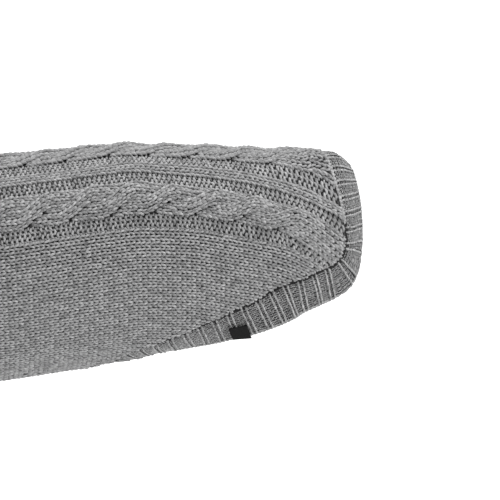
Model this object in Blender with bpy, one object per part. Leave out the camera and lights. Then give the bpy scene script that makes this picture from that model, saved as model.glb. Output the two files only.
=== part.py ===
"""Cable-knit dog sweater, held in the form that it has when worn.

A back piece with three raised cables, a belly piece, a ribbed hem band, a ribbed collar, two ribbed leg cuffs and a
blank tag. Each is a cloth wall on one body form. Lengths are in millimetres until a mesh is made, which is in metres.
+X runs to the tail, -Y to the dog's left and +Z up. The origin is on the spine at mid back, inside the cloth.
"""

import bpy
import numpy as np

MM = 0.001

# The body form, where the inside of the cloth lies: one row for each section, from the neck to the tail. Crown is
# the height from the centre up to the spine, and keel the height down to the belly.
SECTION_COLUMNS = ("along", "height", "lean", "crown", "keel", "half_width", "fullness")
SECTIONS = (
    (-245, -20, 38, 50, 50, 46, 2.1),
    (-231, -33, 35, 53, 53, 48, 2.1),
    (-212, -50, 28, 63, 63, 54, 2.1),
    (-185, -69, 18, 76, 76, 60, 2.2),
    (-150, -82, 9, 86, 86, 64, 2.3),
    (-110, -88, 3, 89, 89, 66, 2.3),
    (-60, -87, 0, 87, 89, 66, 2.3),
    (0, -86, 0, 86, 87, 65, 2.3),
    (30, -86, 0, 86, 85, 64, 2.3),
    (70, -89, 0, 85.5, 90, 63, 2.3),
    (115, -92, 0, 84, 104, 61, 2.2),
    (150, -95, 0, 82.5, 118, 58.5, 2.05),
    (175, -98, 0, 84, 125, 54.5, 1.9),
    (195, -100, 0, 84.5, 125, 49.5, 1.8),
    (210, -101, 0, 82.5, 122, 44, 1.8),
    (222, -102, 0, 73.5, 115, 33, 1.8),
    (236, -103, 0, 56, 100, 14, 1.8),
)

WALL = 2.5
RIB_WALL = 2.2
SEAM_GAP = 0.5
INNER_SETBACK = 2
COLLAR_SEAM = -206
COLLAR_END = -238

# The knitting, by its lengths round the body from the spine, and the cables' relief.
CENTRE_CABLE = 12.5
KNIT_STRIPE = (22.5, 32.5)
SIDE_CABLE = (42.5, 67.5)
PLAIN = 77.5
PAST_PLAIN = 1
CABLE_CROSSING = 32.3
CABLE_CROSSED_AT = 57.5
CABLE_ENDS = (192, 168)
CABLE_FADE = 22
STRAND_MIDDLE = 6.25
STRAND_HALF_WIDTH = 6.9
STRAND_HEIGHT = 3.2
STRAND_TILT = 0.34
STRAND_REACH = 1.4
CROSSING_SHARE = 0.37
CROSSING_STEEPNESS = 0.75
PURL_DEPTH = 0.6
RIB_PITCH = 12.5
RIB_HEIGHT = 0.9
HEM_RIBS_FROM = 5.5

# The worn pattern's places: for each place along the body, how far round to the left its spine wale sits, and how far
# from that wale the edges lie of the centre cable, purl column, stripe, purl column, side cable and purl column.
WORN_PATTERN = (
    (-60, 0, 12.5, 22.5, 32.5, 42.5, 67.5, 77.5),
    (0, -2, 12.5, 22, 32, 41.5, 66.5, 76.5),
    (40, -3.5, 12.5, 20.7, 32.2, 41, 66.8, 76.7),
    (80, -0.5, 12.5, 20.2, 32.3, 41.5, 64.7, 74.7),
    (120, 2.5, 13, 22, 33, 42, 65.8, 77),
    (150, 3.5, 13.3, 26, 36, 46.5, 69, 79.5),
    (175, 4, 17.5, 32, 42.5, 51, 79, 88),
    (195, 8, 22.5, 36.5, 45.5, 57, 89, 97),
    (210, 10, 28, 41, 51, 64, 99, 106),
)

# Where the body stops and the hem band starts: a place along the body for each share of half the girth.
HEM = (
    (0.00, 201),
    (0.10, 203.5),
    (0.27, 208.5),
    (0.32, 208.5),
    (0.36, 205.5),
    (0.39, 197.5),
    (0.415, 178),
    (0.45, 156),
    (0.56, 115),
    (0.68, 68),
    (0.79, 24),
    (0.90, -5),
    (1.00, -12),
)
HEM_BAND = 27

# How far the band's edge stands off the body form, for each share of half the girth: out where a thigh holds it, and
# in under the belly.
FLARE = (
    (0.00, 0),
    (0.33, 0),
    (0.38, 2.5),
    (0.42, 5.5),
    (0.46, 9),
    (0.52, 6.5),
    (0.60, -0.5),
    (0.70, -5.5),
    (0.82, 1),
    (1.00, 0),
)
FLARE_CURVE = 1.5

# The seam between back and belly piece: a share of half the girth for each place along the body.
SIDE_SEAM = ((-250, 0.66), (-130, 0.70), (-60, 0.79), (-5, 0.88), (60, 0.93), (240, 0.93))

LEG_HOLE_ALONG = -130
LEG_HOLE_SHARE = 0.70
LEG_HOLE_RADIUS = 30
CUFF_LENGTH = 28
CUFF_CLOSING = 2
CUFF_RIBS = 15
CUTTER_DEPTH = 25
CUTTER_SIDES = 48

TAG_SHARE = 0.573
TAG_SIZE = (14, 12.5)
TAG_TOP = 13.5
TAG_TILT = 3
TAG_MARGIN = 3
TAG_THICKNESS = 1.2

# How finely the form is measured: the step for its slopes, the steps out from the hem seam and along it, and the
# places along the body where a line is tried against the hem.
SLOPE_STEP = 0.5
WALK_STEP = 1.5
SEAM_LEAD = 0.004
SEAM_STEPS = 2001
HEM_SEARCH = np.linspace(-60, 215, 1101)

BACK_ROWS = 56
PLAIN_COLUMNS = 14
BELLY_COLUMNS = 8
COLUMNS_PER_RIB = 4


def smooth(knots, values, at):
    """Cubic curve through a table that never overshoots its rows: its slope at a row is the harmonic mean of the
    slopes on each side, or level where they differ in sign."""
    knots, values, at = (np.asarray(item, float) for item in (knots, values, at))
    run = np.diff(knots)
    slope = np.diff(values) / run
    before, after = slope[:-1], slope[1:]
    same = before * after > 0
    inner = np.where(same, 2 * before * after / np.where(same, before + after, 1), 0)
    slopes = np.concatenate([slope[:1], inner, slope[-1:]])
    cell = np.clip(np.searchsorted(knots, at, side="right") - 1, 0, len(run) - 1)
    t = (at - knots[cell]) / run[cell]
    start, rise = values[cell], values[cell + 1] - values[cell]
    lead, trail = slopes[cell] * run[cell], slopes[cell + 1] * run[cell]
    inside = start + t * (lead + t * (3 * rise - 2 * lead - trail + t * (lead + trail - 2 * rise)))
    past = start + rise + (t - 1) * trail
    return np.where(t > 1, past, np.where(t < 0, start + t * lead, inside))


def section(along):
    """The values of SECTION_COLUMNS at each place along the body, by name."""
    rows = np.array(SECTIONS, float).T
    return {name: smooth(rows[0], row, along) for name, row in zip(SECTION_COLUMNS, rows)}


def rim_of(angle, row):
    """How far a section's rim lies from its centre at an angle from straight up: a superellipse in polar form, with
    its own height above the centre and below it."""
    height = np.where(np.cos(angle) > 0, row["crown"], row["keel"])
    up, side = np.abs(np.cos(angle)) / height, np.abs(np.sin(angle)) / row["half_width"]
    return (up ** row["fullness"] + side ** row["fullness"]) ** (-1 / row["fullness"])


ALONG_STEPS = np.linspace(-250, 240, 123)
ROUND_STEPS = np.linspace(0, 1, 97)


def measure_girths():
    """(half the girth, the angle from straight up for equal steps round the rim) at each of ALONG_STEPS."""
    angle = np.linspace(0, np.pi, 361)
    girths, angles = [], []
    for along in ALONG_STEPS:
        reach = rim_of(angle, section(along))
        rim = np.stack([reach * np.sin(angle), reach * np.cos(angle)])
        length = np.concatenate([[0], np.cumsum(np.linalg.norm(np.diff(rim, axis=1), axis=0))])
        girths.append(length[-1])
        angles.append(np.interp(ROUND_STEPS * length[-1], length, angle))
    return np.array(girths), np.array(angles)


HALF_GIRTHS, RIM_ANGLES = measure_girths()


def half_girth(along):
    """Length of cloth from the spine to the belly line at a place along the body."""
    return np.interp(along, ALONG_STEPS, HALF_GIRTHS)


def form(along, across):
    """The body form: a place along it, and a length round it from the spine, which is positive on the dog's left.
    Equal steps round a section are equal lengths of cloth."""
    along, across = np.broadcast_arrays(np.asarray(along, float), np.asarray(across, float))
    turns = (across / half_girth(along) + 1) % 2 - 1
    place = (along - ALONG_STEPS[0]) / np.ptp(ALONG_STEPS)
    cell, part = np.divmod(np.clip(place, 0, 0.99999) * (len(ALONG_STEPS) - 1), 1)
    column, rest = np.divmod(np.abs(turns) * (len(ROUND_STEPS) - 1.00001), 1)
    cell, column = cell.astype(int), column.astype(int)
    angle = (1 - part) * ((1 - rest) * RIM_ANGLES[cell, column] + rest * RIM_ANGLES[cell, column + 1])
    angle += part * ((1 - rest) * RIM_ANGLES[cell + 1, column] + rest * RIM_ANGLES[cell + 1, column + 1])
    row = section(along)
    reach = rim_of(angle, row)
    lean = np.radians(row["lean"])
    up = reach * np.cos(angle)
    side = -np.sign(turns) * reach * np.sin(angle)
    return np.stack([row["along"] + up * np.sin(lean), side, row["height"] + up * np.cos(lean)], axis=-1)


def unit(vectors):
    """Each vector at a length of one."""
    return vectors / np.linalg.norm(vectors, axis=-1, keepdims=True)


def along_of(vectors, other):
    """The dot product of each pair of vectors, kept as a column."""
    return np.sum(vectors * other, axis=-1, keepdims=True)


def axes(along, across):
    """(point, step along the body, step round it, outward normal) on the body form."""
    run = (form(along + SLOPE_STEP, across) - form(along - SLOPE_STEP, across)) / (2 * SLOPE_STEP)
    turn = (form(along, across + SLOPE_STEP) - form(along, across - SLOPE_STEP)) / (2 * SLOPE_STEP)
    return form(along, across), run, turn, unit(np.cross(turn, run))


def raised(along, across, lift):
    """Points on the outside of the cloth, or on its inside where lift is 0."""
    point, _, _, out = axes(along, across)
    return point + out * np.asarray(lift)[..., None]


def spread(along, wale):
    """The length of cloth round the body, from the spine, at which a wale lies that was knitted at another: straight
    lines between the pattern's edges, alike on both sides of the spine wale."""
    rows = np.array(WORN_PATTERN, float).T
    near = np.clip(along, rows[0][0], rows[0][-1])
    spine, *worn = (smooth(rows[0], row, near) for row in rows[1:])
    knitted = (CENTRE_CABLE, *KNIT_STRIPE, *SIDE_CABLE, PLAIN)
    size = np.abs(wale)
    width = size * worn[0] / knitted[0]
    for i in range(len(knitted) - 1):
        pull = (worn[i + 1] - worn[i]) / (knitted[i + 1] - knitted[i])
        width = np.where(size > knitted[i], worn[i] + (size - knitted[i]) * pull, width)
    width = np.where(size > PLAIN, worn[-1] + size - PLAIN, width)
    return np.sign(wale) * width + spine


def hem_along(share):
    """Where the body ends at a share of half the girth from the spine."""
    knots, values = np.array(HEM, float).T
    return smooth(knots, values, 1 - np.abs(1 - np.abs(share)))


def side_seam(along):
    """Length of cloth from the spine to the seam between back and belly piece."""
    knots, values = np.array(SIDE_SEAM, float).T
    return smooth(knots, values, along) * half_girth(along)


def strand_sway(turn):
    """Where a strand's middle lies across its cable, from 1 at the lower edge to -1 at the edge by the spine, at a
    number of crossings past its own: a smooth step where it crosses, and a slow drift before and after."""
    step = np.clip(turn / CROSSING_SHARE, -1, 1)
    step = step * (1.5 - 0.5 * step * step)
    return -(CROSSING_STEEPNESS * step + (1 - CROSSING_STEEPNESS) * np.clip(turn, -1, 1))


def cable_relief(along, wale, middle, end):
    """How far a cable stands out: two strands that cross towards the spine by turns, the one that crosses going over
    the other. Each has a round back, and is lower the further it is from its own crossing. Past its end it flattens."""
    height = np.zeros(np.broadcast(along, wale).shape)
    turns = (np.minimum(along, end) - CABLE_CROSSED_AT) / CABLE_CROSSING
    for strand in (-1, 0, 1, 2):
        turn = turns - np.floor(turns) - strand
        reach = 1 - ((wale - middle - STRAND_MIDDLE * strand_sway(turn)) / STRAND_HALF_WIDTH) ** 2
        top = 1 - STRAND_TILT + STRAND_TILT * np.cos(np.pi / 2 * turn)
        back = np.where(np.abs(turn) < STRAND_REACH, top * np.sqrt(np.maximum(reach, 0)), 0)
        height = np.maximum(height, back)
    fade = 1 - 0.8 * np.clip((along - end) / CABLE_FADE, 0, 1)
    return STRAND_HEIGHT * height * fade


def body_relief(along, wale):
    """How far the back's knitting stands out from plain cloth: cables up, purl columns down."""
    size = np.abs(wale)
    centre = cable_relief(along, wale, 0, CABLE_ENDS[0])
    beside = cable_relief(along, size, sum(SIDE_CABLE) / 2, CABLE_ENDS[1])
    knit = (size >= KNIT_STRIPE[0]) & (size <= KNIT_STRIPE[1])
    purl = np.where(knit | (size >= PLAIN), 0, -PURL_DEPTH)
    relief = np.where(size < CENTRE_CABLE, centre, purl)
    return np.where((size > SIDE_CABLE[0]) & (size < SIDE_CABLE[1]), beside, relief)


def seam_point(share):
    """Where the hem seam passes at a share of half the girth from the spine."""
    along = hem_along(share)
    return form(along, share * half_girth(along))


def hem_walk(share, lengths):
    """The lines from the hem seam outwards over the body form, square to the seam where they start: their places
    along the body and round it, one row for each of the lengths."""
    along = hem_along(share)
    across = share * half_girth(along)
    _, run, _, out = axes(along, across)
    heading = unit(np.cross(seam_point(share + SEAM_LEAD) - seam_point(share - SEAM_LEAD), out))
    heading *= np.sign(along_of(heading, run))
    rows, walked = [], 0.0
    for length in lengths:
        steps = max(int(np.ceil(abs(length - walked) / WALK_STEP)), 1)
        step = (length - walked) / steps
        for _ in range(steps):
            _, run, turn, out = axes(along, across)
            heading = unit(heading - out * along_of(heading, out))
            stretch, skew, girth = (along_of(a, b)[..., 0] for a, b in ((run, run), (run, turn), (turn, turn)))
            ahead, round_it = along_of(heading, run)[..., 0], along_of(heading, turn)[..., 0]
            area = stretch * girth - skew * skew
            along = along + step * (girth * ahead - skew * round_it) / area
            across = across + step * (stretch * round_it - skew * ahead) / area
        walked = length
        rows.append((along, across))
    return np.array([row[0] for row in rows]), np.array([row[1] for row in rows])


def hem_shares(count):
    """Shares of half the girth for equal steps round the whole hem seam, with the first rib just past the belly line."""
    share = np.linspace(-1, 1, SEAM_STEPS)
    seam = seam_point(share)
    length = np.concatenate([[0], np.cumsum(np.linalg.norm(np.diff(seam, axis=0), axis=1))])
    steps = HEM_RIBS_FROM + np.arange(count) / count * length[-1]
    return np.interp(steps % length[-1], length, share), length[-1]


def flare(share, length):
    """How far the band stands off the body form at a length out from its seam."""
    knots, values = np.array(FLARE, float).T
    out = smooth(knots, values, 1 - np.abs(1 - np.abs(share)))
    return out * (np.maximum(length, 0) / HEM_BAND) ** FLARE_CURVE


def rim_faces(fine, coarse, turned):
    """Triangles between a fine row of vertices and a coarse one that runs beside it."""
    share = (len(fine) - 1) // (len(coarse) - 1)
    faces = []
    for cell in range(len(coarse) - 1):
        first = cell * share
        middle = first + share // 2
        for i in range(first, first + share):
            faces.append((fine[i], fine[i + 1], coarse[cell if i < middle else cell + 1]))
        faces.append((fine[middle], coarse[cell + 1], coarse[cell]))
    return [face[::-1] for face in faces] if turned else faces


def grid_faces(index, turned):
    a, b, c, d = index[:-1, :-1], index[:-1, 1:], index[1:, 1:], index[1:, :-1]
    quads = np.stack([a, b, c, d], axis=-1).reshape(-1, 4)
    return [tuple(quad) for quad in (quads[:, ::-1] if turned else quads).tolist()]


def cloth_wall(name, outer, inner, material, ring=False):
    """A closed wall between a fine outer grid and a coarser plain inner one. Rows of a ring close on themselves."""
    fine = np.arange(outer.shape[0] * outer.shape[1]).reshape(outer.shape[:2])
    coarse = fine.size + np.arange(inner.shape[0] * inner.shape[1]).reshape(inner.shape[:2])
    if ring:
        fine = np.concatenate([fine, fine[:, :1]], axis=1)
        coarse = np.concatenate([coarse, coarse[:, :1]], axis=1)
    faces = grid_faces(fine, False) + grid_faces(coarse, True)
    faces += rim_faces(fine[0], coarse[0], True) + rim_faces(fine[-1], coarse[-1], False)
    if not ring:
        faces += rim_faces(fine[:, 0], coarse[:, 0], False) + rim_faces(fine[:, -1], coarse[:, -1], True)
    points = np.concatenate([outer.reshape(-1, 3), inner.reshape(-1, 3)]) * MM
    mesh = bpy.data.meshes.new(name)
    mesh.from_pydata(points.tolist(), [], faces)
    mesh.validate()
    mesh.shade_smooth()
    mesh.set_sharp_from_angle(angle=np.radians(50))
    mesh.materials.append(material)
    piece = bpy.data.objects.new(name, mesh)
    bpy.context.scene.collection.objects.link(piece)
    return piece


def back_columns():
    """Wales of the back's columns on one side, as lengths from the spine as knitted, up to where plain cloth starts."""
    centre = np.linspace(0, CENTRE_CABLE, 5)
    cable = np.linspace(*SIDE_CABLE, 9)
    middle = [(CENTRE_CABLE + KNIT_STRIPE[0]) / 2, KNIT_STRIPE[0], sum(KNIT_STRIPE) / 2, KNIT_STRIPE[1]]
    middle.append((KNIT_STRIPE[1] + SIDE_CABLE[0]) / 2)
    return np.concatenate([centre, middle, cable, [(SIDE_CABLE[1] + PLAIN) / 2, PLAIN]])


def column_across(along, wale, outward):
    """Where a column of the back lies round the body: at its wale, or past the last one at a share of the way from
    there to the side seam."""
    edge = spread(along, np.sign(wale) * PLAIN)
    seam = np.sign(wale) * (side_seam(along) - SEAM_GAP / 2)
    return np.where(outward > 0, edge + outward * (seam - edge), spread(along, wale))


def hem_crossing(across_at):
    """Where lines along the body meet the hem, given how far round it they lie at each place along it."""
    along = HEM_SEARCH[:, None]
    short = hem_along(across_at(along) / half_girth(along)) - along
    past = np.argmax(short < 0, axis=0)
    line = np.arange(short.shape[1])
    over, under = short[past - 1, line], short[past, line]
    return HEM_SEARCH[past - 1] + over / (over - under) * (HEM_SEARCH[1] - HEM_SEARCH[0])


def build_back(material):
    half = back_columns()
    outward = np.concatenate([np.zeros(len(half)), np.arange(1, PLAIN_COLUMNS + 1) / PLAIN_COLUMNS])
    half = np.concatenate([half, np.full(PLAIN_COLUMNS, PLAIN + PAST_PLAIN)])
    wale = np.concatenate([-half[:0:-1], half])
    outward = np.concatenate([outward[:0:-1], outward])
    start = COLLAR_SEAM + SEAM_GAP / 2
    share = np.linspace(0, 1, BACK_ROWS + 1)[:, None]
    end = hem_crossing(lambda at: column_across(at, wale, outward)) - SEAM_GAP / 2
    along = start + share * (end - start)
    across = column_across(along, wale, outward)
    relief = np.where(outward > 0, 0, body_relief(along, wale))
    outer = raised(along, across, WALL + relief)
    along = along - INNER_SETBACK * share
    inner = form(along, column_across(along, wale, outward))[::4, ::2]
    return cloth_wall("back_panel", outer, inner, material)


def build_belly(material):
    """The belly piece: its columns share out the cloth between the side seams, under the belly line."""
    start = COLLAR_SEAM + SEAM_GAP / 2
    share = np.linspace(0, 1, BACK_ROWS + 1)[:, None]
    place = np.linspace(-1, 1, BELLY_COLUMNS + 1)

    def round_it(at):
        return half_girth(at) + place * (half_girth(at) - side_seam(at) - SEAM_GAP / 2)

    along = start + share * (hem_crossing(round_it) - SEAM_GAP / 2 - start)
    across = round_it(along)
    outer = raised(along, across, np.full(along.shape, WALL))
    along = along - INNER_SETBACK * share
    inner = form(along, round_it(along))[::4, ::2]
    return cloth_wall("belly_panel", outer, inner, material)


def rib_relief(count):
    """How far ribbing stands out at each of the columns of one turn, with a raised wale at the first of each rib."""
    phase = 2 * np.pi * np.arange(count) / COLUMNS_PER_RIB
    return RIB_HEIGHT * (0.5 + 0.5 * np.cos(phase)) ** 1.5


def build_hem_band(material):
    _, length = hem_shares(1)
    count = COLUMNS_PER_RIB * int(round(length / RIB_PITCH))
    share, _ = hem_shares(count)
    lengths = np.linspace(SEAM_GAP / 2, HEM_BAND, 5)
    along, across = hem_walk(share, lengths)
    outer = raised(along, across, RIB_WALL + rib_relief(count) + flare(share, lengths[:, None]))
    lengths = np.linspace(SEAM_GAP / 2 + INNER_SETBACK, HEM_BAND, 3)
    along, across = hem_walk(share, lengths)
    inner = raised(along, across, flare(share, lengths[:, None]))[:, ::2]
    return cloth_wall("hem_band", outer, inner, material, ring=True)


def build_collar(material):
    girth = 2 * half_girth(COLLAR_SEAM)
    count = COLUMNS_PER_RIB * int(round(girth / RIB_PITCH))
    along = np.linspace(COLLAR_END, COLLAR_SEAM - SEAM_GAP / 2, 5)[:, None]
    across = np.arange(count) / count * 2 * half_girth(along)
    outer = raised(along, across, RIB_WALL + rib_relief(count) + 0 * across)
    inner = form(along, across)[::2, ::2]
    return cloth_wall("collar", outer, inner, material, ring=True)


def leg_ring(side, radius, count):
    """(points of a ring of cloth round a leg hole, the way the leg goes out of it)"""
    angle = 2 * np.pi * np.arange(count) / count
    middle = side * LEG_HOLE_SHARE * half_girth(LEG_HOLE_ALONG)
    points = form(LEG_HOLE_ALONG + radius * np.cos(angle), middle + radius * np.sin(angle))
    _, _, _, out = axes(np.array(float(LEG_HOLE_ALONG)), np.array(middle))
    return points, out


def build_cuff(side, material):
    """A short ribbed tube that goes out through the leg hole, and stands clear of its edge by the seam gap."""
    count = COLUMNS_PER_RIB * CUFF_RIBS
    rows = np.linspace(0, 1, 4)[:, None]
    relief = rib_relief(count)
    outer_base, out = leg_ring(side, LEG_HOLE_RADIUS - SEAM_GAP - RIB_HEIGHT, count)
    inner_base, _ = leg_ring(side, LEG_HOLE_RADIUS - SEAM_GAP - RIB_HEIGHT - RIB_WALL, count)
    middle = outer_base.mean(axis=0)
    from_middle = outer_base - middle
    radial = unit(from_middle - out * along_of(from_middle, out))
    closing = -CUFF_CLOSING * rows
    lift = (CUFF_LENGTH * rows)[..., None] * out
    outer = outer_base + lift + radial * (closing + relief)[..., None]
    inner = (inner_base + lift + radial * closing[..., None])[::3, ::2]
    return cloth_wall("cuff_left" if side > 0 else "cuff_right", outer[:, ::-1], inner[:, ::-1], material, ring=True)


def leg_cutter(side):
    """A closed prism the shape of the leg hole, which cuts it through the cloth on both sides of the seam."""
    count = CUTTER_SIDES
    ring, out = leg_ring(side, LEG_HOLE_RADIUS, count)
    points = np.concatenate([ring - CUTTER_DEPTH * out, ring + CUTTER_DEPTH * out]) * MM
    faces = [(i, count + i, count + (i + 1) % count, (i + 1) % count) for i in range(count)]
    faces += [tuple(range(count)), tuple(range(count, 2 * count))[::-1]]
    mesh = bpy.data.meshes.new("leg_cutter")
    mesh.from_pydata(points.tolist(), [], faces)
    cutter = bpy.data.objects.new("leg_cutter", mesh)
    bpy.context.scene.collection.objects.link(cutter)
    cutter.hide_render = True
    cutter.display_type = "WIRE"
    return cutter


def build_tag(material):
    """The blank folded tag on the band's edge, turned a little on it, made from the band's own points moved out."""
    _, length = hem_shares(1)
    place = np.linspace(-0.5, 0.5, 5)
    share = TAG_SHARE + 2 * TAG_SIZE[0] / length * place
    walked = np.linspace(TAG_TOP - TAG_MARGIN, TAG_TOP + TAG_SIZE[1] + TAG_MARGIN, 9)
    lines = hem_walk(share, walked)
    down = TAG_TOP - TAG_TILT * place + TAG_SIZE[1] * np.linspace(0, 1, 3)[:, None]
    along, across = (np.array([np.interp(d, walked, p) for d, p in zip(down.T, line.T)]).T for line in lines)
    base = WALL + RIB_HEIGHT + SEAM_GAP + flare(share, down)
    outer = raised(along, across, base + TAG_THICKNESS)
    inner = raised(along, across, base)
    return cloth_wall("tag", outer, inner, material)


def material_of(name, colour, roughness):
    material = bpy.data.materials.new(name)
    material.use_nodes = True
    shader = material.node_tree.nodes["Principled BSDF"]
    shader.inputs["Base Color"].default_value = (*colour, 1)
    shader.inputs["Roughness"].default_value = roughness
    shader.inputs["Metallic"].default_value = 0
    material.diffuse_color = (*colour, 1)
    return material


def main():
    for item in list(bpy.data.objects):
        bpy.data.objects.remove(item)
    body_knit = material_of("knit_body", (0.25, 0.25, 0.25), 0.95)
    rib_knit = material_of("knit_rib", (0.23, 0.23, 0.23), 0.95)
    tag_weave = material_of("tag_weave", (0.02, 0.02, 0.02), 0.7)
    panels = (build_back(body_knit), build_belly(body_knit))
    build_hem_band(rib_knit)
    build_collar(rib_knit)
    for side in (1, -1):
        build_cuff(side, rib_knit)
        cutter = leg_cutter(side)
        for panel in panels:
            cut = panel.modifiers.new("leg hole", "BOOLEAN")
            cut.operation = "DIFFERENCE"
            cut.object = cutter
    build_tag(tag_weave)


if __name__ == "__main__":
    main()
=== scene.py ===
"""Cable-knit dog sweater: its yarn, stitch by stitch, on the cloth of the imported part.

Each cloth wall of the part is stood for by a thin shell on the same body form, and the yarn of every stitch lies on
it: V-shaped legs along the wales of the plain knitting and of the cables, waved rows across the purl columns, and
narrow wales with short purl loops between them in the ribbing. Lengths are in millimetres until a mesh is made, which
is in metres.
"""

import bpy
import numpy as np
from mathutils import Matrix, Vector


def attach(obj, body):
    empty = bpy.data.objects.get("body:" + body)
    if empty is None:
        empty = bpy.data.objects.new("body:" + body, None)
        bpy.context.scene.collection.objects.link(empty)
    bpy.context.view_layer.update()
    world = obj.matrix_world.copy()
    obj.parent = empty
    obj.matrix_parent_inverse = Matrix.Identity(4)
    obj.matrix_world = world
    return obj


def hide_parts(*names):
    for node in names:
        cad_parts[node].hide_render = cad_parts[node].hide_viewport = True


MM = 0.001
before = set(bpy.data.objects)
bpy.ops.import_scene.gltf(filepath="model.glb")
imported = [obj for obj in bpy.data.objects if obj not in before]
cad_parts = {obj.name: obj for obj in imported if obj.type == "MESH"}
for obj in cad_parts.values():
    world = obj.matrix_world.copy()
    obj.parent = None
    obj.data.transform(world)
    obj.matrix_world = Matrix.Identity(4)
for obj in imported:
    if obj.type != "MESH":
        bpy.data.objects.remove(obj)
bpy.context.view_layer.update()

# ---------------------------------------------------------------- the body form, as the part's source has it

SECTION_COLUMNS = ("along", "height", "lean", "crown", "keel", "half_width", "fullness")
SECTIONS = (
    (-245, -20, 38, 50, 50, 46, 2.1),
    (-231, -33, 35, 53, 53, 48, 2.1),
    (-212, -50, 28, 63, 63, 54, 2.1),
    (-185, -69, 18, 76, 76, 60, 2.2),
    (-150, -82, 9, 86, 86, 64, 2.3),
    (-110, -88, 3, 89, 89, 66, 2.3),
    (-60, -87, 0, 87, 89, 66, 2.3),
    (0, -86, 0, 86, 87, 65, 2.3),
    (30, -86, 0, 86, 85, 64, 2.3),
    (70, -89, 0, 85.5, 90, 63, 2.3),
    (115, -92, 0, 84, 104, 61, 2.2),
    (150, -95, 0, 82.5, 118, 58.5, 2.05),
    (175, -98, 0, 84, 125, 54.5, 1.9),
    (195, -100, 0, 84.5, 125, 49.5, 1.8),
    (210, -101, 0, 82.5, 122, 44, 1.8),
    (222, -102, 0, 73.5, 115, 33, 1.8),
    (236, -103, 0, 56, 100, 14, 1.8),
)
# By place along the body: where the spine wale lies, and how far from it the knitted edges at CENTRE_CABLE,
# KNIT_STRIPE, SIDE_CABLE and PLAIN lie when the sweater is worn.
WORN_PATTERN = (
    (-60, 0, 12.5, 22.5, 32.5, 42.5, 67.5, 77.5),
    (0, -2, 12.5, 22, 32, 41.5, 66.5, 76.5),
    (40, -3.5, 12.5, 20.7, 32.2, 41, 66.8, 76.7),
    (80, -0.5, 12.5, 20.2, 32.3, 41.5, 64.7, 74.7),
    (120, 2.5, 13, 22, 33, 42, 65.8, 77),
    (150, 3.5, 13.3, 26, 36, 46.5, 69, 79.5),
    (175, 4, 17.5, 32, 42.5, 51, 79, 88),
    (195, 8, 22.5, 36.5, 45.5, 57, 89, 97),
    (210, 10, 28, 41, 51, 64, 99, 106),
)

# Where the body ends, by share of half the girth from the spine.
HEM = (
    (0.00, 201),
    (0.10, 203.5),
    (0.27, 208.5),
    (0.32, 208.5),
    (0.36, 205.5),
    (0.39, 197.5),
    (0.415, 178),
    (0.45, 156),
    (0.56, 115),
    (0.68, 68),
    (0.79, 24),
    (0.90, -5),
    (1.00, -12),
)
# The side seam's share of half the girth, by place along the body.
SIDE_SEAM = ((-250, 0.66), (-130, 0.70), (-60, 0.79), (-5, 0.88), (60, 0.93), (240, 0.93))
WALL = 2.5
RIB_WALL = 2.2
SEAM_GAP = 0.5
COLLAR_SEAM = -206
COLLAR_END = -238
CENTRE_CABLE = 12.5
KNIT_STRIPE = (22.5, 32.5)
SIDE_CABLE = (42.5, 67.5)
PLAIN = 77.5
CABLE_CROSSING = 32.3
CABLE_CROSSED_AT = 57.5
# Where the centre cable and the side cables end.
CABLE_ENDS = (188, 168)
CABLE_FADE = 22
STRAND_MIDDLE = 5.5
STRAND_HALF_WIDTH = 6.9
STRAND_HEIGHT = 3.2
STRAND_TILT = 0.34
STRAND_REACH = 1.4
CROSSING_SHARE = 0.48
CROSSING_STEEPNESS = 1.3
# How far the centre cable's crossings lie behind the side cables', as a share of how much longer it is.
CABLE_LAG = 0.3
RIB_PITCH = 12.5
RIB_HEIGHT = 0.9
HEM_RIBS_FROM = 5.5
HEM_BAND = 27
# How far the band's edge stands off the body, by share of half the girth from the spine.
FLARE = (
    (0.00, 0),
    (0.33, 0),
    (0.38, 2.5),
    (0.42, 5.5),
    (0.46, 9),
    (0.52, 6.5),
    (0.60, -0.5),
    (0.70, -5.5),
    (0.82, 1),
    (1.00, 0),
)
FLARE_CURVE = 1.5

LEG_HOLE_ALONG = -130
LEG_HOLE_SHARE = 0.70
LEG_HOLE_RADIUS = 30
CUFF_LENGTH = 28
CUFF_CLOSING = 2
CUFF_RIBS = 15
TAG_SHARE = 0.573
TAG_SIZE = (14, 12.5)
TAG_TOP = 13.5
TAG_TILT = 3
TAG_FOLD = 0.7

# At the hem seam: how far before it the body's yarn is drawn back, how that yarn sinks as it passes, how deep the
# ribbing sinks and over what length, and how far the body bulges over the band and over what length.
SEAM_TUCK = 1.2
SEAM_DIP = 0.9
SEAM_SINK = 1.5
SEAM_SINK_LENGTH = 2.2
SEAM_BULGE = 2.2
SEAM_BULGE_LENGTH = 7

# The stitches: how wide a wale is, how long a course, and the yarn's radius.
WALE = 5.0
COURSE = 3.875
YARN = 1.13
CABLE_YARN = 1.24
PURL_YARN = 1.16
STRAND_WALE = 4.17
RIB_WALE = 1.8
RIB_WALES_APART = 3.7
RIB_COURSE = 3.1
RIB_YARN = 0.78
RIB_PURL_YARN = 0.52
RIB_PURL_COURSE = 1.62
GROOVE_HALF_WIDTH = 1.15

# How deep the middle of a yarn lies under the top of the wall.
PLAIN_SUNK = 1.0
CABLE_SUNK = 1.15
PURL_SUNK = 1.7
RIB_SUNK = 0.85
RIB_PURL_SUNK = 0.95
GROOVE_SUNK = 0.35
STRIPE_RAISED = 0.35

# A cable's yarn: its height, how steep its round back is, how much lower its strands are between crossings, how far a
# strand still shows under the other's edge, and from where, by how much and over what length the cables flatten.
YARN_CABLE_HEIGHT = 4.3
YARN_STEEPNESS = 0.8
CENTRE_TILT = 0.6
SIDE_TILT = 0.82
STRAND_OVERLAP = 0.34
CABLES_LOWER_FROM = (132, 148)
CABLES_LOWER_BY = 0.6
CABLES_LOWER_OVER = 45

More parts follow.
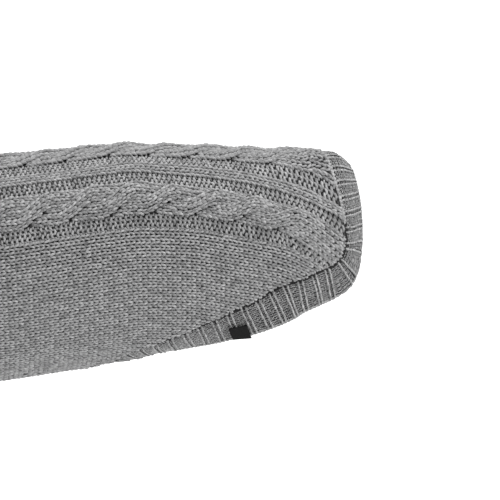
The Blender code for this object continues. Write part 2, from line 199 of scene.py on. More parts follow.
# A purl row: steps a wale, how far it swings along the body, how far it slants, and how far it goes on under the
# wales beside it.
WAVE_STEPS = 8
PURL_SWING = 1.55
PURL_SLANT = 1.4
PURL_LEAD = 1.3

# How uneven the stitches are: along, across and up, and the share of their thickness.
LEG_UNEVEN = (0.16, 0.12, 0.09, 0.05)


def smooth(knots, values, at):
    """Cubic curve through a table that never overshoots its rows: its slope at a row is the harmonic mean of the
    slopes on each side, or level where they differ in sign."""
    knots, values, at = (np.asarray(item, float) for item in (knots, values, at))
    run = np.diff(knots)
    slope = np.diff(values) / run
    before, after = slope[:-1], slope[1:]
    same = before * after > 0
    inner = np.where(same, 2 * before * after / np.where(same, before + after, 1), 0)
    slopes = np.concatenate([slope[:1], inner, slope[-1:]])
    cell = np.clip(np.searchsorted(knots, at, side="right") - 1, 0, len(run) - 1)
    t = (at - knots[cell]) / run[cell]
    start, rise = values[cell], values[cell + 1] - values[cell]
    lead, trail = slopes[cell] * run[cell], slopes[cell + 1] * run[cell]
    inside = start + t * (lead + t * (3 * rise - 2 * lead - trail + t * (lead + trail - 2 * rise)))
    past = start + rise + (t - 1) * trail
    return np.where(t > 1, past, np.where(t < 0, start + t * lead, inside))


def section(along):
    """The values of SECTION_COLUMNS at each place along the body, by name."""
    rows = np.array(SECTIONS, float).T
    return {name: smooth(rows[0], row, along) for name, row in zip(SECTION_COLUMNS, rows)}


def rim_of(angle, row):
    """How far a section's rim lies from its centre at an angle from straight up: a superellipse in polar form, with
    its own height above the centre and below it."""
    height = np.where(np.cos(angle) > 0, row["crown"], row["keel"])
    up, side = np.abs(np.cos(angle)) / height, np.abs(np.sin(angle)) / row["half_width"]
    return (up ** row["fullness"] + side ** row["fullness"]) ** (-1 / row["fullness"])


ALONG_STEPS = np.linspace(-250, 240, 123)
ROUND_STEPS = np.linspace(0, 1, 97)


def measure_girths():
    """(half the girth, the angle from straight up for equal steps round the rim) at each of ALONG_STEPS."""
    angle = np.linspace(0, np.pi, 361)
    girths, angles = [], []
    for along in ALONG_STEPS:
        reach = rim_of(angle, section(along))
        rim = np.stack([reach * np.sin(angle), reach * np.cos(angle)])
        length = np.concatenate([[0], np.cumsum(np.linalg.norm(np.diff(rim, axis=1), axis=0))])
        girths.append(length[-1])
        angles.append(np.interp(ROUND_STEPS * length[-1], length, angle))
    return np.array(girths), np.array(angles)


HALF_GIRTHS, RIM_ANGLES = measure_girths()


def half_girth(along):
    """Length of cloth from the spine to the belly line at a place along the body."""
    return np.interp(along, ALONG_STEPS, HALF_GIRTHS)


def form(along, across):
    """The body form: a place along it, and a length round it from the spine, which is positive on the dog's left.
    Equal steps round a section are equal lengths of cloth."""
    along, across = np.broadcast_arrays(np.asarray(along, float), np.asarray(across, float))
    turns = (across / half_girth(along) + 1) % 2 - 1
    place = (along - ALONG_STEPS[0]) / np.ptp(ALONG_STEPS)
    cell, part = np.divmod(np.clip(place, 0, 0.99999) * (len(ALONG_STEPS) - 1), 1)
    column, rest = np.divmod(np.abs(turns) * (len(ROUND_STEPS) - 1.00001), 1)
    cell, column = cell.astype(int), column.astype(int)
    angle = (1 - part) * ((1 - rest) * RIM_ANGLES[cell, column] + rest * RIM_ANGLES[cell, column + 1])
    angle += part * ((1 - rest) * RIM_ANGLES[cell + 1, column] + rest * RIM_ANGLES[cell + 1, column + 1])
    row = section(along)
    reach = rim_of(angle, row)
    lean = np.radians(row["lean"])
    up = reach * np.cos(angle)
    side = -np.sign(turns) * reach * np.sin(angle)
    return np.stack([row["along"] + up * np.sin(lean), side, row["height"] + up * np.cos(lean)], axis=-1)


def unit(vectors):
    """Vectors at length 1."""
    return vectors / np.maximum(np.linalg.norm(vectors, axis=-1, keepdims=True), 1e-9)


def along_of(vectors, other):
    """How far each vector reaches along another: their dot product."""
    return np.sum(vectors * other, axis=-1, keepdims=True)


def axes(along, across):
    """(point, step along the body, step round it, outward normal) on the body form."""
    step = 0.5
    run = (form(along + step, across) - form(along - step, across)) / (2 * step)
    turn = (form(along, across + step) - form(along, across - step)) / (2 * step)
    return form(along, across), run, turn, unit(np.cross(turn, run))


def spread(along, wale):
    """The length of cloth round the body, from the spine, at which a wale lies that was knitted at another: straight
    lines between the pattern's edges, alike on both sides of the spine wale."""
    rows = np.array(WORN_PATTERN, float).T
    near = np.clip(along, rows[0][0], rows[0][-1])
    spine, *worn = (smooth(rows[0], row, near) for row in rows[1:])
    knitted = (CENTRE_CABLE, *KNIT_STRIPE, *SIDE_CABLE, PLAIN)
    size = np.abs(wale)
    width = size * worn[0] / knitted[0]
    for i in range(len(knitted) - 1):
        pull = (worn[i + 1] - worn[i]) / (knitted[i + 1] - knitted[i])
        width = np.where(size > knitted[i], worn[i] + (size - knitted[i]) * pull, width)
    width = np.where(size > PLAIN, worn[-1] + size - PLAIN, width)
    return np.sign(wale) * width + spine


def hem_along(share):
    """Where the body ends at a share of half the girth from the spine."""
    knots, values = np.array(HEM, float).T
    return smooth(knots, values, 1 - np.abs(1 - np.abs(share)))


def side_seam(along):
    """Length of cloth from the spine to the seam between back and belly piece."""
    knots, values = np.array(SIDE_SEAM, float).T
    return smooth(knots, values, along) * half_girth(along)


def folds(along, across):
    """How far the cloth lifts in soft creases, which the part's plain wall has none of: a few long waves of unlike
    length and depth, each the product of a wave across it and a swell along it."""
    total = 0.0
    for middle, middle_across, length, width, depth, turned in FOLDS:
        for side in (1, -1):
            tilt = np.radians(turned * side)
            u, v = along - middle, across - side * middle_across
            down = (u * np.cos(tilt) + v * np.sin(tilt)) / length
            over = (v * np.cos(tilt) - u * np.sin(tilt)) / width
            total = total + depth * np.exp(-down * down - over * over)
    return total


# Soft creases: the middle along and across, half length, half width, depth, and how far turned from the body's line.
FOLDS = (
    (168, 108, 30, 7, 1.6, 38),
    (150, 118, 34, 6, -1.2, 40),
    (120, 128, 38, 9, 1.1, 33),
    (84, 150, 42, 8, -0.9, 36),
    (38, 172, 46, 9, 1.0, 30),
    (-20, 150, 60, 10, -0.8, 12),
    (-96, 150, 26, 8, 1.3, 60),
    (-104, 178, 22, 7, -1.2, -48),
    (-168, 120, 24, 8, 1.0, -30),
    (-190, 60, 30, 9, -0.8, 20),
)


def strand_sway(turn):
    """Where a strand's middle lies across its cable, from 1 at the lower edge to -1 at the edge by the spine, at a
    number of crossings past its own: a smooth step where it crosses, beyond both edges, and a slow drift back."""
    step = np.clip(turn / CROSSING_SHARE, -1, 1)
    step = step * (1.5 - 0.5 * step * step)
    return -(CROSSING_STEEPNESS * step + (1 - CROSSING_STEEPNESS) * np.clip(turn, -1, 1))


def strand_top(turn, tilt=STRAND_TILT):
    """How high a strand's back lies, as a share of the most, by how far past its own crossing it is."""
    return np.where(np.abs(turn) < STRAND_REACH, 1 - tilt + tilt * np.cos(np.pi / 2 * turn), 0)


def strand_relief(turn, offset, tilt=STRAND_TILT, steep=0.5):
    """The height of a strand's round back, as a share of the most, at an offset from the cable's middle."""
    reach = 1 - ((offset - STRAND_MIDDLE * strand_sway(turn)) / STRAND_HALF_WIDTH) ** 2
    return strand_top(turn, tilt) * np.maximum(reach, 0) ** steep


def cable_turns(along, end):
    """How many crossings past the first one a place along a cable is. The longer cable is a little behind."""
    return (np.minimum(along, end) - CABLE_CROSSED_AT - CABLE_LAG * (end - CABLE_ENDS[1])) / CABLE_CROSSING


def cable_fade(along, end):
    """1 along a cable, and less past its last crossing, where it flattens."""
    return 1 - 0.8 * np.clip((along - end) / CABLE_FADE, 0, 1)


def cable_relief(along, wale, middle, end):
    """How far a cable stands out: two strands that cross towards the spine by turns, the one that crosses going over
    the other. Each has a round back, and is lower the further it is from its own crossing. Past its end it flattens."""
    turns = cable_turns(along, end)
    turns = turns - np.floor(turns)
    height = np.max([strand_relief(turns - strand, wale - middle) for strand in (-1, 0, 1, 2)], axis=0)
    return STRAND_HEIGHT * height * cable_fade(along, end)


def flare(share, length):
    """How far the band stands off the body form at a length out from its seam."""
    knots, values = np.array(FLARE, float).T
    out = smooth(knots, values, 1 - np.abs(1 - np.abs(share)))
    return out * (np.maximum(length, 0) / HEM_BAND) ** FLARE_CURVE


def hem_walk(share, lengths):
    """The lines from the hem seam outwards over the body form, square to the seam where they start: their places
    along the body and round it, one row for each of the lengths."""
    along = hem_along(share)
    across = share * half_girth(along)
    lead = 0.004
    ends = [hem_along(near) for near in (share - lead, share + lead)]
    before, after = (form(end, near * half_girth(end)) for end, near in zip(ends, (share - lead, share + lead)))
    _, run, _, out = axes(along, across)
    heading = unit(np.cross(after - before, out))
    heading *= np.sign(along_of(heading, run))
    rows, walked = [], 0.0
    for length in lengths:
        steps = max(int(np.ceil(abs(length - walked) / 1.5)), 1)
        step = (length - walked) / steps
        for _ in range(steps):
            _, run, turn, out = axes(along, across)
            heading = unit(heading - out * along_of(heading, out))
            stretch, skew, girth = (along_of(a, b)[..., 0] for a, b in ((run, run), (run, turn), (turn, turn)))
            ahead, round_it = along_of(heading, run)[..., 0], along_of(heading, turn)[..., 0]
            area = stretch * girth - skew * skew
            along = along + step * (girth * ahead - skew * round_it) / area
            across = across + step * (stretch * round_it - skew * ahead) / area
        walked = length
        rows.append((along, across))
    return np.array([row[0] for row in rows]), np.array([row[1] for row in rows])


def hem_shares(count):
    """Shares of half the girth for equal steps round the whole hem seam, from the belly by the left to the belly, and
    the seam's length."""
    share = np.linspace(-1, 1, 2001)
    along = hem_along(share)
    seam = form(along, share * half_girth(along))
    length = np.concatenate([[0], np.cumsum(np.linalg.norm(np.diff(seam, axis=0), axis=1))])
    return np.interp(np.linspace(0, 1, count) * length[-1], length, share), length[-1]


# ---------------------------------------------------------------- charts: a place on a piece of cloth, and its lift


def on_body(along, across, lift):
    """(point, outward normal) above the body form, with the creases in it."""
    girth = half_girth(along)
    across = ((across / girth + 1) % 2 - 1) * girth
    point, _, _, out = axes(along, across)
    return point + out * np.asarray(lift + folds(along, across))[..., None], out


def tucked(along, across, lift):
    """(place along, lift) of yarn near the hem: what would pass the seam is drawn back to it and sunk."""
    past = np.maximum(along - hem_along(across / half_girth(along)) + SEAM_TUCK, 0)
    return along - past, lift - SEAM_DIP * past


def back_chart(along, wale, lift):
    """A place on the back: along the body, and the wale it was knitted at."""
    across = spread(along, wale)
    along, lift = tucked(along, across, lift)
    return on_body(along, across, lift)


def belly_chart(along, wale, lift):
    """A place on the belly: along the body, and how far round it from the belly line."""
    across = half_girth(along) + wale
    along, lift = tucked(along, across, lift)
    return on_body(along, across, lift)


BAND_COLUMNS = 1201
BAND_ROWS = 30
BAND_SHARES, BAND_GIRTH = hem_shares(BAND_COLUMNS)
BAND_LENGTHS = np.linspace(0, HEM_BAND + 5, BAND_ROWS)
BAND_ALONG, BAND_ACROSS = hem_walk(BAND_SHARES, BAND_LENGTHS)


def band_chart(length, round_it, lift):
    """A place on the hem band: its length from the seam, and its length round the seam from the belly line."""
    row, down = np.divmod(np.clip(length / BAND_LENGTHS[-1], 0, 0.99999) * (BAND_ROWS - 1), 1)
    column, over = np.divmod((round_it / BAND_GIRTH % 1) * (BAND_COLUMNS - 1), 1)
    row, column = row.astype(int), np.minimum(column.astype(int), BAND_COLUMNS - 2)
    places = []
    for table in (BAND_ALONG, BAND_ACROSS):
        near = (1 - over) * table[row, column] + over * table[row, column + 1]
        far = (1 - over) * table[row + 1, column] + over * table[row + 1, column + 1]
        places.append((1 - down) * near + down * far)
    share = (1 - over) * BAND_SHARES[column] + over * BAND_SHARES[column + 1]
    return on_body(places[0], places[1], lift + flare(share, length))


COLLAR_GIRTH = 2 * half_girth(COLLAR_SEAM)


def collar_chart(length, round_it, lift):
    """A place on the collar: its length from the seam towards the neck, and its length round it at the seam."""
    along = COLLAR_SEAM - length
    return on_body(along, round_it / COLLAR_GIRTH * 2 * half_girth(along), lift)


CUFF_RADIUS = LEG_HOLE_RADIUS - SEAM_GAP - RIB_HEIGHT - RIB_WALL
CUFF_GIRTH = CUFF_RIBS * RIB_PITCH


def cuff_chart(side):
    """The chart of one leg cuff, a short tube that goes straight out of the leg hole and closes in a little: its
    length from the hole, and its length round it."""
    middle = side * LEG_HOLE_SHARE * half_girth(LEG_HOLE_ALONG)
    _, _, _, out = axes(np.array(float(LEG_HOLE_ALONG)), np.array(middle))
    ring = 2 * np.pi * np.arange(360) / 360
    centre = form(LEG_HOLE_ALONG + CUFF_RADIUS * np.cos(ring), middle + CUFF_RADIUS * np.sin(ring)).mean(axis=0)

    def chart(length, round_it, lift):
        angle = -2 * np.pi * side * round_it / CUFF_GIRTH
        base = form(LEG_HOLE_ALONG + CUFF_RADIUS * np.cos(angle), middle + CUFF_RADIUS * np.sin(angle))
        from_centre = base - centre
        radial = unit(from_centre - out * along_of(from_centre, out))
        closing = lift - CUFF_CLOSING * length / CUFF_LENGTH
        return base + length[..., None] * out + radial * closing[..., None], radial

    return chart


# ---------------------------------------------------------------- meshes


def finished(name, mesh, materials):
    """The piece of a mesh, in the scene with its materials and on the only body."""
    piece = bpy.data.objects.new(name, mesh)
    bpy.context.scene.collection.objects.link(piece)
    for material in materials:
        mesh.materials.append(material)
    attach(piece, "root")
    return piece


def raw_mesh(name, points, faces, uv, tone=None):
    """A mesh from arrays: points in millimetres, faces of four corners or of three and a -1, a UV pair for each corner
    in metres, and a shade for each point."""
    used = faces >= 0
    corners, size = faces[used], used.sum(axis=1)
    mesh = bpy.data.meshes.new(name)
    mesh.vertices.add(len(points))
    mesh.vertices.foreach_set("co", (points * MM).astype(np.float32).reshape(-1))
    mesh.loops.add(len(corners))
    mesh.loops.foreach_set("vertex_index", corners.astype(np.int32))
    mesh.polygons.add(len(faces))
    mesh.polygons.foreach_set("loop_start", (np.cumsum(size) - size).astype(np.int32))
    mesh.update(calc_edges=True)
    layer = mesh.uv_layers.new(name="cloth")
    layer.data.foreach_set("uv", uv[used].astype(np.float32).reshape(-1))
    if tone is not None:
        shade = mesh.attributes.new("tone", "FLOAT", "POINT")
        shade.data.foreach_set("value", tone.astype(np.float32))
    mesh.shade_smooth()
    return mesh


def tube_arrays(points, outs, radius, tone, sides=4):
    """Yarn as tubes, one for each row of points: a ring of a few points across the path at each of them, as far out as
    its radius there and with a side on top, and a face across both ends. UV runs along the yarn in metres, and once
    round it."""
    rows, steps, _ = points.shape
    ahead = unit(np.gradient(points, axis=1))
    beside = unit(np.cross(ahead, outs))
    above = np.cross(beside, ahead)
    angle = np.pi / 2 + 2 * np.pi * (np.arange(sides) - 0.5) / sides
    ring = np.cos(angle)[:, None] * beside[:, :, None] + np.sin(angle)[:, None] * above[:, :, None]
    vertices = points[:, :, None] + radius[:, :, None, None] * ring
    index = np.arange(rows * steps * sides).reshape(rows, steps, sides)
    turned = np.roll(index, -1, axis=2)
    quads = np.stack([index[:, :-1], index[:, 1:], turned[:, 1:], turned[:, :-1]], axis=-1).reshape(-1, 4)
    step = np.linalg.norm(np.diff(points, axis=1), axis=2)
    run = np.concatenate([np.zeros((rows, 1)), np.cumsum(step, axis=1)], axis=1) * MM
    place = np.stack(np.broadcast_arrays(run[:, :, None], np.arange(sides) / sides), axis=-1)
    beyond = place + (0, 1 / sides)
    uv = np.stack([place[:, :-1], place[:, 1:], beyond[:, 1:], beyond[:, :-1]], axis=3).reshape(-1, 4, 2)
    spare = np.full((rows, 4 - sides), -1)
    caps = [np.hstack([cap, spare]) for cap in (index[:, 0], index[:, -1, ::-1])]
    cap_uv = [np.pad(cap, ((0, 0), (0, 4 - sides), (0, 0))) for cap in (place[:, 0], place[:, -1, ::-1])]
    faces, uv = np.concatenate([quads, *caps]), np.concatenate([uv, *cap_uv])
    return vertices.reshape(-1, 3), faces, uv, np.repeat(tone, steps * sides)


def joined(parts):
    """Several (points, faces, uv, tone) as one."""
    shift, faces = 0, []
    for part in parts:
        faces.append(np.where(part[1] < 0, -1, part[1] + shift))
        shift += len(part[0])
    return (
        np.concatenate([part[0] for part in parts]),
        np.concatenate(faces),
        np.concatenate([part[2] for part in parts]),
        np.concatenate([part[3] for part in parts]),
    )


draws = np.random.default_rng(11)

# A leg of a stitch, from its foot at the wale's middle to its top at the wale's side: places along in courses, across
# in wales, how high it lies in yarn radii, and how thick it is.
LEG_ALONG = np.array((-0.22, 0.10, 0.45, 0.80, 1.14))
LEG_ACROSS = np.array((0.09, 0.17, 0.25, 0.335, 0.41))
LEG_LIFT = np.array((-0.85, 0.1, 0.4, 0.15, -0.8))
LEG_RADIUS = np.array((0.45, 0.92, 1.0, 0.94, 0.5))
RIB_LEG_ACROSS = np.array((-0.12, -0.02, 0.08, 0.16, 0.22))


def legs(chart, along, wale, lift, yarn, width, length, bend=None, across=LEG_ACROSS, rough=1.0, sides=4):
    """The two legs of each stitch, as tubes on a chart: the leg's points, a course long and a wale wide, mirrored for
    the second one, and all of it a little uneven. bend moves the points of a wale across, by how far along they are,
    and rough is how much more uneven than usual the stitches are."""
    ahead, sideways, up, thick = LEG_UNEVEN
    parts = []
    for side in (1, -1):
        jitter = rough * draws.normal(0, 1, (4, len(along)))
        places = along[:, None] + length * LEG_ALONG + ahead * jitter[0][:, None]
        beside = wale[:, None] + side * width * across + sideways * jitter[1][:, None]
        if bend is not None:
            beside = beside + bend(places) - bend(along[:, None])
        high = lift[:, None] + yarn * LEG_LIFT + up * jitter[2][:, None]
        points, outs = chart(places, beside, high)
        radius = yarn * LEG_RADIUS * (1 + thick * jitter[3][:, None])
        parts.append(tube_arrays(points, outs, radius, draws.random(len(along)), sides))
    return joined(parts)


def waves(chart, along, start, width, waves_in, lift):
    """Rows of purl stitches: one yarn across each column for every course, which swings to and fro along the body
    once a wale, by a cosine, slants a little, and lies highest where it swings out. start is where each row starts
    across."""
    steps = int(waves_in * WAVE_STEPS) + 1
    t = np.linspace(0, waves_in, steps)
    jitter = draws.normal(0, 1, (3, len(along)))
    swell = np.cos(2 * np.pi * t)
    places = along[:, None] + PURL_SWING * swell * (1 + 0.08 * jitter[0][:, None])
    places = places + PURL_SLANT * (t / waves_in - 0.5) + 0.25 * jitter[1][:, None]
    beside = start + width * (t / waves_in)[None, :] + 0.1 * jitter[2][:, None]
    beside = beside + 0.12 * width / waves_in * np.sin(4 * np.pi * t)
    high = lift + 0.45 * PURL_YARN * (np.abs(swell) * 2 - 1.2) + 0 * places
    points, outs = chart(places, beside, high)
    taper = np.ones(steps)
    taper[[0, -1]] = 0.5
    radius = PURL_YARN * taper * (0.9 + 0.15 * np.abs(swell)) + 0 * places
    return tube_arrays(points, outs, radius, draws.random(len(along)))


# ---------------------------------------------------------------- which stitches lie on a piece

# How far inside an edge a stitch's middle lies, how much nearer to the side seam it may be, and how far before the hem.
STITCH_MARGIN = 0.3
SEAM_MARGIN = 0.5
HEM_MARGIN = 1.6


def in_leg_hole(along, across, margin):
    """Whether a place lies in either leg hole, or nearer to it than a margin."""
    girth = half_girth(along)
    across = ((across / girth + 1) % 2 - 1) * girth
    middle = LEG_HOLE_SHARE * half_girth(LEG_HOLE_ALONG)
    return (along - LEG_HOLE_ALONG) ** 2 + (np.abs(across) - middle) ** 2 < (LEG_HOLE_RADIUS + margin) ** 2


def clear_of_openings(along, across, margin):
    """Whether a place on the body is clear of the hem and of the leg holes."""
    before_hem = along < hem_along(across / half_girth(along)) - HEM_MARGIN
    return before_hem & ~in_leg_hole(along, across, margin)


def on_back(along, wale, margin=STITCH_MARGIN):
    """Whether a stitch lies on the back piece, clear of its edges and of the leg holes."""
    across = spread(along, wale)
    inside = np.abs(across) < side_seam(along) - SEAM_GAP / 2 + SEAM_MARGIN - margin
    return inside & clear_of_openings(along, across, margin)


def on_belly(along, wale, margin=STITCH_MARGIN):
    """Whether a stitch lies on the belly piece, clear of its edges and of the leg holes."""
    across = half_girth(along) + wale
    inside = np.abs(wale) < half_girth(along) - side_seam(along) - SEAM_GAP / 2 + SEAM_MARGIN - margin
    return inside & clear_of_openings(along, across, margin)


def near_hem(along, across):
    """How near the hem seam a place on the body is, from 0 to 1 at it."""
    gap = hem_along(across / half_girth(along)) - along
    return np.exp(-np.maximum(gap, 0) / SEAM_BULGE_LENGTH)


LAST_COURSE = 214
COURSES = np.arange(COLLAR_SEAM + 1, LAST_COURSE, COURSE)


def plain_stitches(chart, wales, keep, lift, sides=4):
    """V stitches for each wale at each course, where keep allows."""
    along, wale = (grid.reshape(-1) for grid in np.meshgrid(COURSES, wales, indexing="ij"))
    kept = keep(along, wale)
    along, wale = along[kept], wale[kept]
    return legs(chart, along, wale, lift(along, wale), YARN, WALE, COURSE, sides=sides)


def cable_stitches(middle, mirrored, end, tilt, lower_from):
    """A cable's strands, of three wales each, which sway across it. A wale lies as high as its strand's round back
    does there, and has no stitches where the other strand lies higher."""
    parts = []
    count = int(np.ceil((COURSES[-1] - COURSES[0]) / CABLE_CROSSING)) + 2
    first = int(np.floor(cable_turns(COURSES[0], end)))
    for strand in range(first, first + count):
        for place in (-1, 0, 1):

            def path(at, strand=strand, place=place):
                turn = cable_turns(at, end) - strand
                return mirrored * (STRAND_MIDDLE * strand_sway(turn) + place * STRAND_WALE)

            turn = cable_turns(COURSES, end) - strand
            offset = mirrored * path(COURSES)
            shape = (tilt, YARN_STEEPNESS)
            others = np.max([strand_relief(turn + shift, offset, *shape) for shift in (-2, -1, 1, 2)], axis=0)
            own = strand_relief(turn, offset, *shape)
            kept = (own > others - STRAND_OVERLAP) & (np.abs(turn) < STRAND_REACH)
            kept &= on_back(COURSES, middle + mirrored * offset)
            if not kept.any():
                continue
            along = COURSES[kept]
            height = YARN_CABLE_HEIGHT * own[kept] * cable_fade(along, end)
            height *= 1 - CABLES_LOWER_BY * np.clip((along - lower_from) / CABLES_LOWER_OVER, 0, 1)
            wale = middle + path(along)
            base = WALL - CABLE_SUNK + height
            parts.append(legs(back_chart, along, wale, base, CABLE_YARN, STRAND_WALE, COURSE, bend=path, rough=1.7))
    return joined(parts)


def purl_column(first, last, raised):
    """The purl rows between two wales of the back, one for each course. raised is how far a cable beside them pulls
    up their first and last stitches."""
    side = np.sign(first + last)
    along = COURSES[on_back(COURSES, np.full(len(COURSES), (first + last) / 2), 3)]
    wales = abs(last - first) / WALE
    width = side * (abs(last - first) + 2 * PURL_LEAD)
    t = np.linspace(0, wales, int(wales * WAVE_STEPS) + 1)
    lift = WALL - PURL_SUNK + raised[0] * np.exp(-t / 0.3) + raised[1] * np.exp((t - wales) / 0.3)
    return waves(back_chart, along, first - side * PURL_LEAD, width, wales, lift)


def body_lift(along, across):
    """How high plain stitches lie: higher where the body bulges over the hem band, and sunk at the seam itself."""
    near = near_hem(along, across)
    return WALL - PLAIN_SUNK + SEAM_BULGE * (near - 1.4 * near**5)


def rib_pieces(chart, girth, ribs, length, first=1.0, ribs_from=0.0, strips=(3, 1)):
    """Ribbing round a band: each rib is two narrow wales of nearly straight stitches with a groove between them, and
    fine purl stitches lie across the cloth from rib to rib and, deeper, in the groove. strips is how many of them lie
    side by side between ribs and in a groove."""
    pitch = girth / ribs
    middles = ribs_from + np.arange(ribs) * pitch
    places = np.concatenate([middles - RIB_WALES_APART / 2, middles + RIB_WALES_APART / 2])
    rows = np.arange(first, length - 2.9, RIB_COURSE)
    along, wale = (grid.reshape(-1) for grid in np.meshgrid(rows, places, indexing="ij"))
    lift = RIB_WALL - RIB_SUNK + 0.45 * RIB_HEIGHT - SEAM_SINK * np.exp(-along / SEAM_SINK_LENGTH)
    parts = [legs(chart, along, wale, lift, RIB_YARN, RIB_WALE, RIB_COURSE, across=RIB_LEG_ACROSS, sides=3)]
    panel = pitch - RIB_WALES_APART
    groove = 2 * GROOVE_HALF_WIDTH
    grounds = ((strips[0], RIB_WALES_APART / 2, panel, 0.0), (strips[1], -GROOVE_HALF_WIDTH, groove, GROOVE_SUNK))
    placed = [(at + k * wide / count, wide / count, deep) for count, at, wide, deep in grounds for k in range(count)]
    for start, width, deeper in placed:
        rows = np.arange(first - 0.4, length - 0.8, RIB_PURL_COURSE)
        along, wale = (grid.reshape(-1) for grid in np.meshgrid(rows, middles + start, indexing="ij"))
        along = along + draws.uniform(-0.3, 0.3, len(along))
        parts.append(dashes(chart, along, wale, width, RIB_WALL - RIB_PURL_SUNK - deeper))
    return joined(parts)


def dashes(chart, along, wale, width, lift):
    """Single purl loops of ribbing, each a short arch of yarn across its wale, a little askew and with its ends sunk
    in the cloth."""
    t = np.linspace(0, 1, 4)
    arch = np.sin(np.pi * t)
    jitter = draws.normal(0, 1, (3, len(along)))
    places = along[:, None] + 0.5 * (arch - 0.5) + (0.35 + 0.25 * jitter[0][:, None]) * (t - 0.5)
    beside = wale[:, None] + width * (1.25 * t - 0.125) + 0.1 * jitter[1][:, None]
    sunk = SEAM_SINK * np.exp(-along / SEAM_SINK_LENGTH)
    high = (lift - sunk)[:, None] + RIB_PURL_YARN * (1.5 * arch - 1.1) + 0.08 * jitter[2][:, None]
    points, outs = chart(places, beside, high)
    radius = RIB_PURL_YARN * (0.55 + 0.45 * arch) + 0 * places
    return tube_arrays(points, outs, radius, draws.random(len(along)), 3)


def edge_chain(chart, girth, at, count, lift, yarn, part=(0, 1)):
    """The bound-off edge, or a seam: a chain of short stitches that lie along it at a length from the seam, each
    starting inside the one before. A stitch is two arches of yarn, half sine waves that bend apart. part is how much
    of the way round the chain goes."""
    step = girth / count
    start = np.arange(int(part[0] * count), int(part[1] * count)) * step
    t = np.linspace(0, 1, 5)
    arch = np.sin(np.pi * t)
    parts = []
    for side in (1, -1):
        along = at + side * yarn * 0.75 * arch + 0 * start[:, None]
        beside = start[:, None] + (1.35 * t - 0.15) * step
        high = lift + yarn * (0.5 * arch - 0.3) + 0 * beside
        points, outs = chart(along, beside, high)
        radius = yarn * (0.5 + 0.5 * arch) + 0 * beside
        parts.append(tube_arrays(points, outs, radius, draws.random(len(start)), 3))
    return joined(parts)


def side_seam_chains(side):
    """The seam yarn between back and belly piece, from the collar to the leg hole and from there to the hem."""

    def chart(off, run, lift):
        along = COLLAR_SEAM + run
        return on_body(along, side * (side_seam(along) + off), lift)

    full = hem_end(side_seam)[0] - COLLAR_SEAM
    hole = LEG_HOLE_ALONG - COLLAR_SEAM
    count = int(full / COURSE)
    parts = ((0, (hole - LEG_HOLE_RADIUS) / full), ((hole + LEG_HOLE_RADIUS + 2) / full, 1))
    return joined([edge_chain(chart, full, 0, count, WALL - 1.7, 1.25, part) for part in parts])


# ---------------------------------------------------------------- cloth shells


def shell(name, outer, inner, places, ring, materials):
    """A thin closed wall between two grids of the same size: outer faces take the first material and inner ones the
    second. Rows of a ring close on themselves. places gives each point of a grid its UV, in millimetres."""
    rows, columns = outer.shape[:2]
    index = np.arange(rows * columns).reshape(rows, columns)
    if ring:
        index = np.concatenate([index, index[:, :1]], axis=1)
        step = places[:, 1:2] - places[:, :1]
        places = np.concatenate([places, places[:, -1:] + step], axis=1)
    inside = index + rows * columns

    def cells(grid):
        return np.stack([grid[:-1, :-1], grid[:-1, 1:], grid[1:, 1:], grid[1:, :-1]], axis=2)

    def rim(top, bottom, at):
        faces = np.stack([top[:-1], bottom[:-1], bottom[1:], top[1:]], axis=1)
        return faces, np.stack([at[:-1], at[:-1], at[1:], at[1:]], axis=1)

    faces = [cells(index).reshape(-1, 4), cells(inside).reshape(-1, 4)[:, ::-1]]
    uv = [cells(places).reshape(-1, 4, 2), cells(places).reshape(-1, 4, 2)[:, ::-1]]
    rims = [(index[0], inside[0], places[0], False), (index[-1], inside[-1], places[-1], True)]
    if not ring:
        rims += [(index[:, 0], inside[:, 0], places[:, 0], True), (index[:, -1], inside[:, -1], places[:, -1], False)]
    for top, bottom, at, back in rims:
        edge, edge_uv = rim(top, bottom, at)
        faces.append(edge[:, ::-1] if back else edge)
        uv.append(edge_uv[:, ::-1] if back else edge_uv)
    inner_faces = (len(faces[0]), len(faces[0]) + len(faces[1]))
    faces = np.concatenate(faces)
    points = np.concatenate([outer.reshape(-1, 3), inner.reshape(-1, 3)])
    mesh = raw_mesh(name, points, faces, np.concatenate(uv) * MM)
    slots = np.zeros(len(faces), np.int32)
    slots[slice(*inner_faces)] = 1
    piece = finished(name, mesh, materials)
    mesh.polygons.foreach_set("material_index", slots)
    mesh.update()
    return piece


def leg_cutter(side):
    """A closed prism the shape of a leg hole."""
    count = 72
    angle = 2 * np.pi * np.arange(count) / count
    middle = side * LEG_HOLE_SHARE * half_girth(LEG_HOLE_ALONG)
    ring = form(LEG_HOLE_ALONG + LEG_HOLE_RADIUS * np.cos(angle), middle + LEG_HOLE_RADIUS * np.sin(angle))
    _, _, _, out = axes(np.array(float(LEG_HOLE_ALONG)), np.array(middle))
    points = np.concatenate([ring - 25 * out, ring + 25 * out]) * MM
    faces = [(i, count + i, count + (i + 1) % count, (i + 1) % count) for i in range(count)]
    faces += [tuple(range(count)), tuple(range(count, 2 * count))[::-1]]
    mesh = bpy.data.meshes.new("leg_cutter")
    mesh.from_pydata(points.tolist(), [], faces)
    cutter = bpy.data.objects.new("leg_cutter", mesh)
    bpy.context.scene.collection.objects.link(cutter)
    return cutter


def cut_leg_holes(pieces):
    """Cuts both leg holes through the shells, and leaves no modifier on them."""
    cutters = [leg_cutter(side) for side in (1, -1)]
    for piece in pieces:
        for cutter in cutters:
            cut = piece.modifiers.new("leg hole", "BOOLEAN")
            cut.object = cutter
        bpy.context.view_layer.update()
        made = bpy.data.meshes.new_from_object(piece.evaluated_get(bpy.context.evaluated_depsgraph_get()))
        piece.modifiers.clear()
        old, piece.data = piece.data, made
        made.name = piece.name
        bpy.data.meshes.remove(old)
    for cutter in cutters:
        bpy.data.objects.remove(cutter)


# ---------------------------------------------------------------- materials

FULL_TURN = 6.2832


